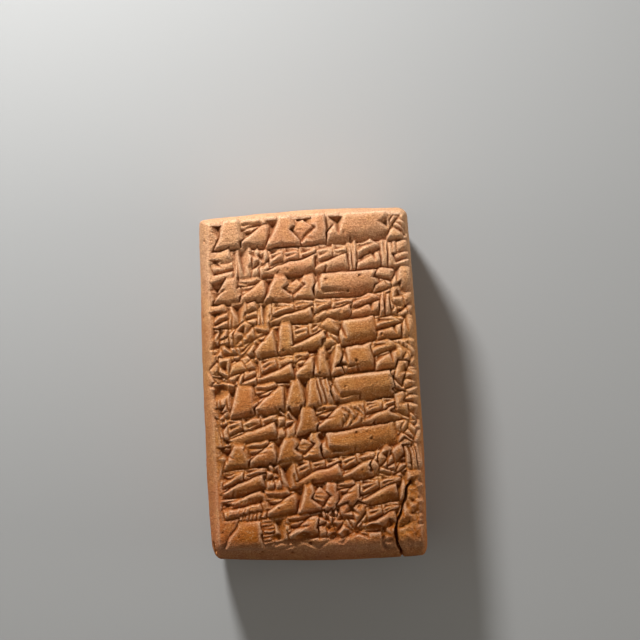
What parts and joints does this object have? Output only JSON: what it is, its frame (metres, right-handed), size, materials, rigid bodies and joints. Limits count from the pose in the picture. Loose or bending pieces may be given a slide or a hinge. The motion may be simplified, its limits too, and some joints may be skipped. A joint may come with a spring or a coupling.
{
  "type": "clay tablet",
  "caption": "Pillow-shaped baked clay tablet lying on its bulging reverse, its upper face pressed with rows of stylus wedges.",
  "frame": {"origin": "middle of the tablet's outline, at the flat spot under the reverse", "axes": "+Z out of the written face, +Y towards the head of the text, +X to the reader's right"},
  "size_m": [0.0386, 0.0625, 0.019],
  "materials": {
    "clay": "dry, matte baked clay"
  },
  "bodies": {
    "root": {"tablet": "clay"}
  },
  "joints": []
}
